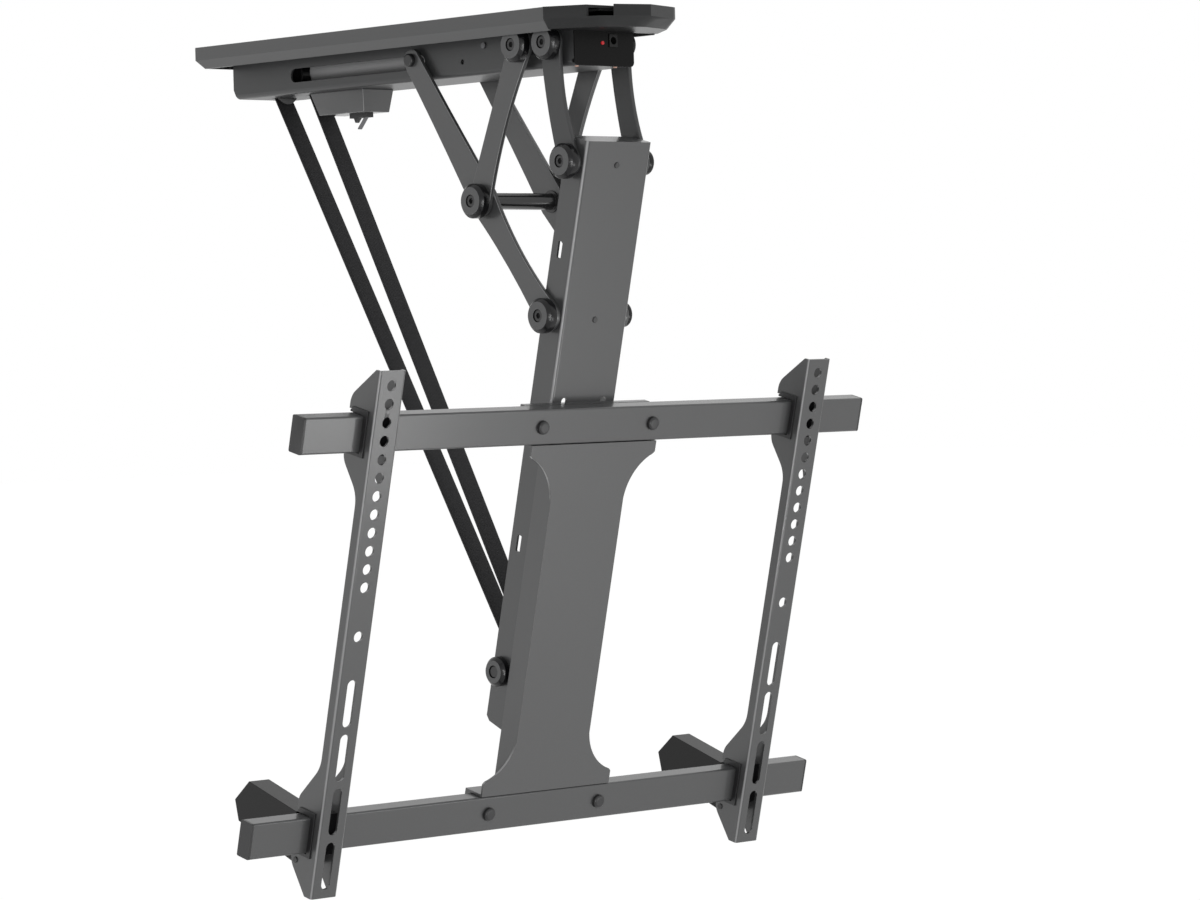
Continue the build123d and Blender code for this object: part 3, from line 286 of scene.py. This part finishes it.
MIDDLE = (0.0, 0.0, -0.35)
soft_lamp("tall_lamp", (-2.3, -2.6, -0.75), MIDDLE, size=(0.22, 1.7), power=30.0)
soft_lamp("front_lamp", (1.2, -2.4, -1.6), MIDDLE, size=(1.2, 1.2), power=28.0)
soft_lamp("side_lamp", (-3.0, 1.0, -1.2), MIDDLE, size=(1.2, 1.2), power=14.0)

# %% [markdown]
# ## Node groups for a baked coat
#
# Almost all of the mount is folded steel with a dark grey powder coat. Baked powder isn't smooth: it
# has tiny lighter grains and faint clouds, and a ripple like orange peel. A painted highlight also
# brightens the rounded folds. Each effect is a node group with named sockets, built once, and each
# material places it with its own amounts. An empty group with its sockets comes first.


# %% Make an empty node group
def new_group(name, inputs, outputs):
    """Node group with the given sockets; returns it, the values it is given and the ones it puts out."""
    group = bpy.data.node_groups.new(name, "ShaderNodeTree")
    for socket_name, kind, value in inputs:
        socket = group.interface.new_socket(name=socket_name, in_out="INPUT", socket_type=kind)
        socket.default_value = value
    for socket_name, kind in outputs:
        group.interface.new_socket(name=socket_name, in_out="OUTPUT", socket_type=kind)
    return group, group.nodes.new("NodeGroupInput").outputs, group.nodes.new("NodeGroupOutput").inputs


def noise(tree, scale, detail, roughness=0.5):
    """Noise on the piece's own coordinates, so it stays on the piece when the mount folds."""
    node = tree.nodes.new("ShaderNodeTexNoise")
    place = tree.nodes.new("ShaderNodeTexCoord")
    tree.links.new(place.outputs["Object"], node.inputs["Vector"])
    for name, value in (("Scale", scale), ("Detail", detail), ("Roughness", roughness)):
        feed(tree, node.inputs[name], value)
    return node.outputs["Fac"]


print("group helpers ready")

# %% [markdown]
# ## Grains and clouds
#
# Seen close, powder paint is a field of grains a fraction of a millimetre wide. Seen from further
# off, it has slow clouds where the coat is thicker. Both are noise around zero, added to one, and the
# paint's colour is scaled by the sum. That way the mean colour stays as it is written.

# %% Make the powder's colour
CLOUD_SCALE = 9.0
powder_colour, given, put = new_group(
    "powder_colour",
    [("Paint", "NodeSocketColor", (0.1, 0.1, 0.1, 1.0)), ("Grain Scale", "NodeSocketFloat", 900.0),
     ("Grain", "NodeSocketFloat", 0.1), ("Cloud", "NodeSocketFloat", 0.06)],
    [("Color", "NodeSocketColor"), ("Grain Mask", "NodeSocketFloat")])
grains = noise(powder_colour, given["Grain Scale"], detail=2.0)
clouds = noise(powder_colour, CLOUD_SCALE, detail=3.0)
around_zero = [
    calc(powder_colour, "MULTIPLY", calc(powder_colour, "SUBTRACT", source, 0.5), given[share])
    for source, share in ((grains, "Grain"), (clouds, "Cloud"))]
strength = calc(powder_colour, "ADD", calc(powder_colour, "ADD", *around_zero), 1.0)
tint = powder_colour.nodes.new("ShaderNodeVectorMath")
tint.operation = "SCALE"
powder_colour.links.new(given["Paint"], tint.inputs[0])
powder_colour.links.new(strength, tint.inputs["Scale"])
powder_colour.links.new(tint.outputs[0], put["Color"])
powder_colour.links.new(grains, put["Grain Mask"])
print("group", powder_colour.name)

# %% [markdown]
# ## Orange peel
#
# Molten powder levels out into a low ripple, which is why its highlights look broken up. It is far
# too fine to be modelled on long plates, so it is a bump that turns the normal. The moulded plastics
# have a grain of the same kind, only finer and deeper.

# %% Make the ripple
RIPPLE_HEIGHT = 0.2 * MM
orange_peel, given, put = new_group(
    "orange_peel",
    [("Ripple Scale", "NodeSocketFloat", 700.0), ("Depth", "NodeSocketFloat", 0.1)],
    [("Normal", "NodeSocketVector")])
bump = orange_peel.nodes.new("ShaderNodeBump")
bump.inputs["Distance"].default_value = RIPPLE_HEIGHT
orange_peel.links.new(given["Depth"], bump.inputs["Strength"])
ripple = noise(orange_peel, given["Ripple Scale"], detail=3.0, roughness=0.6)
orange_peel.links.new(ripple, bump.inputs["Height"])
orange_peel.links.new(bump.outputs["Normal"], put["Normal"])
print("group", orange_peel.name)

# %% [markdown]
# ## Painted highlight along the folds
#
# The long folds of the mast, the bars and the arms catch a thin bright reflection of the lamps. Here that
# highlight is painted into the colour as a paler paint. The folds all run in the side plane. On a side
# face the normal's X part is 1 and on a front face 0, so only a rounded fold or a softened rim between
# them passes both limits below. Swinging a piece about X leaves that part as it was, so the painted
# highlight stays put when the mount folds.

# %% Make the mask of the folds
FOLD_BEGINS = (0.30, 0.62)
FOLD_ENDS = (0.97, 0.84)


def sideways(tree):
    """How far a surface looks to the side: the size of its normal's X part, from 0 to 1."""
    facing = tree.nodes.new("ShaderNodeNewGeometry")
    parts = tree.nodes.new("ShaderNodeSeparateXYZ")
    tree.links.new(facing.outputs["Normal"], parts.inputs[0])
    return calc(tree, "ABSOLUTE", parts.outputs["X"])


# The mask marks the rounded folds where a highlight is painted.
painted_fold_highlight, given, put = new_group(
    "painted_fold_highlight", [("Amount", "NodeSocketFloat", 1.0)], [("Fold", "NodeSocketFloat")])
side = sideways(painted_fold_highlight)
fold = calc(painted_fold_highlight, "MULTIPLY", ramp(painted_fold_highlight, side, *FOLD_BEGINS), ramp(painted_fold_highlight, side, *FOLD_ENDS))
painted_fold_highlight.links.new(calc(painted_fold_highlight, "MULTIPLY", fold, given["Amount"]), put["Fold"])
print("group", painted_fold_highlight.name)

# %% [markdown]
# ## From effects to a finish
#
# One function makes every painted and moulded finish, because they differ only in amounts: colour,
# roughness, grain, clouds, ripple, metal and gloss. The shader itself stays in the material, where
# the export can read it. Three more functions change a finish: a painted highlight along the folds, a
# painted reflection on the caps' end faces, and less shine for the plastics that look nearly matt.

# %% Make a coated finish
ROUGHNESS_SPREAD = 0.06
COAT_ROUGHNESS = 0.14


def add_group(tree, group, **values):
    """Node that places a shared group, with its input sockets set by name; _ stands for a space."""
    node = tree.nodes.new("ShaderNodeGroup")
    node.node_tree = group
    for name, value in values.items():
        node.inputs[name.replace("_", " ")].default_value = value
    return node


def shader_of(material):
    return material.node_tree.nodes["Principled BSDF"]


def coated(name, paint, rough, grain, cloud, ripple, depth, metallic=0.0, gloss=0.0):
    """Material with powder colour, a roughness that varies with the grain, and a rippled normal.

    A little gloss puts a clear coat on top, which draws a thin bright line along each rounded fold.
    """
    material = bpy.data.materials.new(name)
    material.use_nodes = True
    tree, shader = material.node_tree, shader_of(material)
    colour = add_group(tree, powder_colour, Paint=(*paint, 1.0), Grain=grain, Cloud=cloud)
    peel = add_group(tree, orange_peel, Ripple_Scale=ripple, Depth=depth)
    varied = ramp(
        tree, colour.outputs["Grain Mask"], 0.0, 1.0, rough - ROUGHNESS_SPREAD, rough + ROUGHNESS_SPREAD)
    tree.links.new(colour.outputs["Color"], shader.inputs["Base Color"])
    tree.links.new(varied, shader.inputs["Roughness"])
    tree.links.new(peel.outputs["Normal"], shader.inputs["Normal"])
    shader.inputs["Metallic"].default_value = metallic
    shader.inputs["Coat Weight"].default_value = gloss
    shader.inputs["Coat Roughness"].default_value = COAT_ROUGHNESS
    return material


print("coated finishes can be made")

# %% [markdown]
# ## Changes to a finish
#
# The painted fold highlight and the caps' painted reflection are both a second colour laid over the
# first through a mask. They could be separate materials on separate faces, but a mask follows the
# shape by itself and has soft edges. The pivot caps are black at the rim, and the flat faces turned to
# the side get a paler grey, a painted reflection.

# %% Paint a fold highlight and a face reflection, and dull
# The first two set the painted highlight along the folds; the last two the painted reflection on the
# caps' end faces.
FOLD_HIGHLIGHT_PAINT = (0.36, 0.36, 0.365)
FOLD_HIGHLIGHT_AMOUNT = 0.85
FLAT_SIDE = (0.90, 0.98)
REFLECTION_GRAIN = 0.25


def lay_over(material, factor, over):
    """Put another colour over a material's base colour, as far as the factor says."""
    tree, base = material.node_tree, shader_of(material).inputs["Base Color"]
    tree.links.new(overlay(tree, factor, base.links[0].from_socket, over), base)
    return material


def with_painted_fold_highlight(material):
    """Lay a paler paint along the folds of a coated material, as a painted highlight."""
    mask = add_group(material.node_tree, painted_fold_highlight, Amount=FOLD_HIGHLIGHT_AMOUNT)
    return lay_over(material, mask.outputs["Fold"], (*FOLD_HIGHLIGHT_PAINT, 1.0))


def with_painted_face_reflection(material, reflection_paint):
    """Give the flat faces that look along X a paler paint as a painted reflection: the normal's X part
    picks them out.
    """
    tree = material.node_tree
    mask = ramp(tree, sideways(tree), *FLAT_SIDE)
    face_reflection = add_group(tree, powder_colour, Paint=(*reflection_paint, 1.0), Grain=REFLECTION_GRAIN)
    return lay_over(material, mask, face_reflection.outputs["Color"])


def dull(material, level):
    """Take down the shine that a material has when it is seen straight on; 0.5 is plain plastic."""
    shader_of(material).inputs["Specular IOR Level"].default_value = level
    return material


print("finishes can be changed")

# %% [markdown]
# ## Powder-coated steel
#
# The sheets' greys differ by a shade: the saddle is the palest, and the tray, the mast and the
# housing are darker. One driving grey makes each paint, with a trace of blue in it. The tray, the
# housing and the front links get no painted highlight along their folds. The front links take the
# housing's darker coat as painted shade, for the shade that the tray casts on them.


# %% Paint the steel
def powder_coat(name, grey, rough=0.40, gloss=0.5):
    """Dark baked coat on sheet steel: the grey in red, a thousandth more green, two more blue."""
    paint = (grey, grey + 0.001, grey + 0.002)
    return coated(name, paint, rough, grain=0.20, cloud=0.08, ripple=900.0, depth=0.05, gloss=gloss)


finishes = {
    # The next three coats carry a painted highlight along their folds.
    "dark_steel": with_painted_fold_highlight(powder_coat("dark_powder_coat", 0.060)),
    "mast_steel": with_painted_fold_highlight(powder_coat("mast_powder_coat", 0.052)),
    "saddle_steel": with_painted_fold_highlight(powder_coat("saddle_powder_coat", 0.074)),
    # This darker coat is also painted shade on the front links under the tray.
    "housing_steel": powder_coat("housing_coat_and_link_shade", 0.042, rough=0.46, gloss=0.12),
    "tray_steel": powder_coat("tray_powder_coat", 0.052),
}
print("steel finishes", sorted(finishes))

# %% [markdown]
# ## Screws, drive and rod
#
# The screws are blacked steel, a few of them zinc plated. The motor's tube is light grey, the board
# green, and the rod between the links has a deep gloss. They differ in colour and in how fine their
# ripple is, so the same function makes them.

# %% Finish the small metal pieces
finishes |= {
    "black_steel": coated("black_screws", (0.020, 0.020, 0.021), 0.34, 0.10, 0.05, 500.0, 0.08),
    "grey_steel": coated("drive_grey", (0.36, 0.36, 0.365), 0.42, 0.10, 0.05, 700.0, 0.08),
    "zinc_steel": coated("zinc_plate", (0.16, 0.16, 0.165), 0.40, 0.16, 0.10, 300.0, 0.05, metallic=1.0),
    "board_green": coated("circuit_board", (0.03, 0.12, 0.06), 0.40, 0.15, 0.20, 600.0, 0.05),
    "rod_gloss": coated("glossy_rod", (0.022, 0.022, 0.023), 0.16, 0.04, 0.04, 400.0, 0.02),
}
print("finishes so far", len(finishes))

# %% [markdown]
# ## Moulded plastics
#
# The nose cover, the liners in the arms, the front panel, the levers and the pivot caps are black
# plastic. The front panel is made darker still, as painted shade under the nose. A moulded face is
# finer and deeper in its grain than paint. Most of it hardly shines, so its shine is taken down; left
# at the plain level, it would mirror the white room and turn grey.

# %% Finish the plastic pieces
CAP_FACE_REFLECTION = (0.13, 0.131, 0.133)
BLACK_CAP = coated("pivot_caps", (0.006, 0.006, 0.007), 0.24, 0.06, 0.05, 1500.0, 0.02)
BLACK_NOSE = coated("nose_plastic", (0.020, 0.0205, 0.021), 0.34, 0.10, 0.05, 1800.0, 0.22)
# The panel's near-black is its dark plastic with painted shade under the nose.
SHADED_BLACK_PANEL = coated("front_panel_black_and_shade", (0.004, 0.004, 0.004), 0.30, 0.05, 0.04, 1200.0, 0.05)
BLACK_LEVER = coated("lever_black", (0.007, 0.007, 0.007), 0.30, 0.05, 0.04, 1200.0, 0.05)
finishes |= {
    # The caps' faces that look along X get a paler grey as a painted reflection.
    "cap_plastic": dull(with_painted_face_reflection(BLACK_CAP, CAP_FACE_REFLECTION), 0.30),
    "cover_plastic": dull(BLACK_NOSE, 0.30),
    "liner_plastic": coated("black_nylon", (0.012, 0.012, 0.013), 0.40, 0.10, 0.05, 1500.0, 0.18),
    "panel_black": dull(SHADED_BLACK_PANEL, 0.12),
    "lever_black": dull(BLACK_LEVER, 0.25),
}
print("finishes so far", len(finishes))

# %% [markdown]
# ## Signal lamp and receiver
#
# The front panel has a small red light, and under it two clear windows for the receiver. The red
# light glows from inside. A lamp behind coloured glass would cost noise, so its plastic glows a little
# by itself. The receiver's windows are no lamps; their faint glow is painted light.


# %% Finish the lamps
def tinted_lamp(name, colour, glow):
    """Smooth coloured plastic that also glows a little."""
    material = coated(name, colour, 0.25, 0.02, 0.02, 400.0, 0.02)
    shader_of(material).inputs["Emission Color"].default_value = (*colour, 1.0)
    shader_of(material).inputs["Emission Strength"].default_value = glow
    return material


finishes["red_lamp"] = tinted_lamp("red_light", (0.50, 0.012, 0.018), glow=0.35)
# The receiver's windows are no lamps: their glow is painted light.
finishes["clear_lamp"] = tinted_lamp("receiver_lens_painted_glow", (0.70, 0.42, 0.32), glow=0.12)
print("finishes", sorted(finishes))

# %% [markdown]
# ## Softened edges
#
# Sheet steel never has a razor edge: each fold and sheared rim is a little round, and that is where
# the light catches. The CAD meshes are loose triangles with sharp corners, so each one gets a Weld to
# join the triangles, a Decimate that joins those on one flat face, and a narrow Bevel on its sharp
# edges, whose hardened normals keep the faces flat. The modifiers leave the CAD mesh as it is.

# %% Soften an edge
WELD_REACH = 0.02 * MM
FLAT_ANGLE = math.radians(1.0)
SHARP_ANGLE = math.radians(35.0)
EDGE_MM = {"dark_steel": 0.6, "mast_steel": 0.6, "saddle_steel": 0.6, "housing_steel": 0.6,
           "tray_steel": 0.6, "cover_plastic": 0.7, "lever_black": 0.5, "panel_black": 0.4,
           "cap_plastic": 0.35, "black_steel": 0.3, "liner_plastic": 0.3, "rod_gloss": 0.3}


def soften(node, width_mm):
    """Weld, flat faces and a bevel with hardened normals on a CAD node, as live modifiers."""
    weld = node.modifiers.new("weld", "WELD")
    weld.merge_threshold = WELD_REACH
    flat = node.modifiers.new("flat_faces", "DECIMATE")
    flat.decimate_type = "DISSOLVE"
    flat.angle_limit = FLAT_ANGLE
    bevel = node.modifiers.new("edge", "BEVEL")
    bevel.width = width_mm * MM
    bevel.segments = 3
    bevel.limit_method = "ANGLE"
    bevel.angle_limit = SHARP_ANGLE
    bevel.use_clamp_overlap = True
    bevel.harden_normals = True


print("edges from", min(EDGE_MM.values()), "to", max(EDGE_MM.values()), "mm")

# %% [markdown]
# ## Dressing the CAD model
#
# The model's record names a material slot for each node, and the finishes above have the slots'
# names. A few nodes look different from their slot's plain finish in daylight, such as the glossy rod
# or the black levers, and they are listed by name.

# %% Dress the CAD nodes
slot_of = {s["node"]: s["material_slot"] for s in frame["record"]["subparts"]}
# The front links take the housing's darker coat as painted shade under the tray.
OWN_FINISH = {
    "ceiling_plate": "tray_steel", "housing": "housing_steel", "mast": "mast_steel",
    "saddle_plate": "saddle_steel", "front_link_left": "housing_steel",
    "front_link_right": "housing_steel", "cross_rod": "rod_gloss", "gear_motor": "grey_steel",
    "slot_pins": "black_steel", "mast_screws": "black_steel", "side_screws": "zinc_steel",
    # The front panel's near-black finish is partly painted shade under the nose.
    "front_panel": "panel_black", "dc_jack": "lever_black", "lock_lever_left": "lever_black",
    "lock_lever_right": "lever_black"}

for name, node in nodes.items():
    finish = OWN_FINISH.get(name, slot_of[name])
    if finish in finishes:
        for holder in node.material_slots:
            holder.material = finishes[finish]
    if finish in EDGE_MM:
        soften(node, EDGE_MM[finish])
print("dressed", len(nodes), "nodes")

# %% [markdown]
# ## Lifting strap
#
# The strap is a flat band of black woven webbing. It comes down from the housing, goes round a
# roller near the foot of the mast and back up. Under load it is straight, so its line is two tangents
# to the roller and the arc between them, all in the side plane. The tangents start at the two exits
# in the housing.

# %% Lay out the strap's path
ROLLER = on_mast(0, 435.0, 0)
ROLLER_R = 8.0
STRAP_THICK = 1.8
STRAP_WIDTH = 19.0
STRAP_GAP = 0.3
TOP_Z = -40.0
BEND_POINTS = 25
front_top = np.array([173.4, TOP_Z]) * MM
back_top = np.array([222.6, TOP_Z]) * MM
strap_r = (ROLLER_R + STRAP_GAP + STRAP_THICK / 2) * MM


def tangent_angle(outside, side):
    """Direction from the roller's centre to where a line from outside touches the strap's circle.

    It is the direction of the outside point, turned to one side by the angle whose tangent is the
    line's length over the circle's radius.
    """
    dy, dz = outside - ROLLER[1:]
    return math.atan2(dz, dy) + side * math.atan2(math.sqrt(dy * dy + dz * dz - strap_r**2), strap_r)


start_angle = tangent_angle(front_top, 1)
end_angle = tangent_angle(back_top, -1)
sweep = (end_angle - start_angle) % (2 * math.pi)
angles = start_angle + sweep * np.linspace(0, 1, BEND_POINTS)
spokes = np.stack([np.cos(angles), np.sin(angles)], -1)
bend = ROLLER[1:] + strap_r * spokes
print("bend", round(math.degrees(sweep)), "degrees")

# %% [markdown]
# ## Ribbons of webbing
#
# The real strap winds up on a spool as the mast rises, so one stiff piece can't follow. It is drawn
# as three ribbons that meet end to end: the run down, the bend round the roller, and the run up. A
# ribbon is a path carried across its width, with a thickness that thins towards the woven edges. Its
# UV map holds metres across and metres along, so the weave runs on from one ribbon to the next.

# %% Draw the ribbons
RUN_POINTS = 60
ACROSS_POINTS = 13
EDGE_THINNING = 0.35


def straight(start, end):
    """Points at even steps on the straight line from start to end."""
    return start + (end - start) * np.linspace(0, 1, RUN_POINTS)[:, None]


def ribbon(name, path_yz, outward, along):
    """Webbing along a path: each path point plus x across it, plus a thickness along outward.

    The half thickness is T / 2 (1 - 0.35 |s|^6), with s from -1 to 1 across the width.
    """
    across = np.linspace(-1, 1, ACROSS_POINTS)
    thick = STRAP_THICK * MM / 2 * (1 - EDGE_THINNING * np.abs(across) ** 6)
    ring_x = np.concatenate([across, across[::-1]]) * STRAP_WIDTH / 2 * MM
    ring_off = np.concatenate([thick, -thick[::-1]])
    points = np.empty((len(path_yz), len(ring_x), 3))
    points[..., 0] = ring_x
    points[..., 1:] = path_yz[:, None, :] + outward[:, None, :] * ring_off[None, :, None]
    made = add_object(name, grid_mesh(name, points, tube=True))
    uv = made.data.uv_layers.new(name="UVMap")
    loops = np.empty(len(made.data.loops), int)
    made.data.loops.foreach_get("vertex_index", loops)
    row, column = np.divmod(loops, len(ring_x))
    uv.data.foreach_set("uv", np.stack([ring_x[column], along[row]], -1).astype(np.float32).ravel())
    return made


down_run, up_run = straight(front_top, bend[0]), straight(bend[-1], back_top)
down_length, up_length = (np.linalg.norm(run[-1] - run[0]) for run in (down_run, up_run))
bend_length = strap_r * sweep
down_along = np.linspace(0, down_length, RUN_POINTS)
bend_along = down_length + np.linspace(0, bend_length, BEND_POINTS)
up_along = down_length + bend_length + np.linspace(0, up_length, RUN_POINTS)
strap_down = ribbon("strap_down", down_run, np.tile(spokes[0], (RUN_POINTS, 1)), down_along)
strap_bend = ribbon("strap_bend", bend, spokes, bend_along)
strap_up = ribbon("strap_up", up_run, np.tile(spokes[-1], (RUN_POINTS, 1)), up_along)
strap_pieces = (strap_down, strap_bend, strap_up)
print("strap in sight", round(float(down_length + bend_length + up_length), 3), "m")

# %% [markdown]
# ## Strap and fold
#
# When the mount is folded, the roller stands close under the housing, and hardly any strap is out of
# it. The bend rides on the mast with its roller. The two runs stay with the housing, each with a mesh
# of its own. The line between the roller's two places is worked out, but the runs are not drawn
# together along it.
# The roller's place when folded is the one that the CAD model's linkage gives it.

# %% Attach the strap to the housing and the mast
FOLDED_ROLLER = np.array([168.0, -81.4]) * MM
pull = ROLLER[1:] - FOLDED_ROLLER
pull_length = np.linalg.norm(pull)
pull /= pull_length
for run, top in ((strap_down, front_top), (strap_up, back_top)):
    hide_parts("strap")
    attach(run, "ceiling_unit")
    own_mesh(run)
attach(strap_bend, "mast")

# %% [markdown]
# ## Webbing
#
# Woven webbing is threads over and under each other: it is a grid of small raised spots. Two sets of
# waves, one across and one along the strap, are multiplied to give that grid, which drives both the
# colour and the bump. It reads the ribbon's UV map, so that the weave follows the bend.

# %% Weave the strap
WARP_SCALE = 190.0
WEFT_SCALE = 230.0
THREAD_SHADOW = (0.006, 0.006, 0.007, 1.0)
THREAD = (0.020, 0.020, 0.022, 1.0)
webbing = bpy.data.materials.new("black_webbing")
webbing.use_nodes = True
cloth = webbing.node_tree
where = cloth.nodes.new("ShaderNodeUVMap")
where.uv_map = "UVMap"


def threads(direction, scale):
    """Bands of thread on the strap's UV map, light in the middle of each thread."""
    wave = cloth.nodes.new("ShaderNodeTexWave")
    wave.wave_type = "BANDS"
    wave.bands_direction = direction
    wave.inputs["Scale"].default_value = scale
    cloth.links.new(where.outputs[0], wave.inputs["Vector"])
    return wave.outputs["Fac"]


weave = calc(cloth, "MULTIPLY", threads("X", WARP_SCALE), threads("Y", WEFT_SCALE))
relief = cloth.nodes.new("ShaderNodeBump")
relief.inputs["Distance"].default_value = 0.4 * MM
relief.inputs["Strength"].default_value = 0.6
cloth.links.new(weave, relief.inputs["Height"])
shader = shader_of(webbing)
cloth.links.new(overlay(cloth, weave, THREAD_SHADOW, THREAD), shader.inputs["Base Color"])
cloth.links.new(relief.outputs["Normal"], shader.inputs["Normal"])
shader.inputs["Roughness"].default_value = 0.75
for piece in strap_pieces:
    piece.data.materials.append(webbing)
print("webbing on", len(strap_pieces), "ribbons")
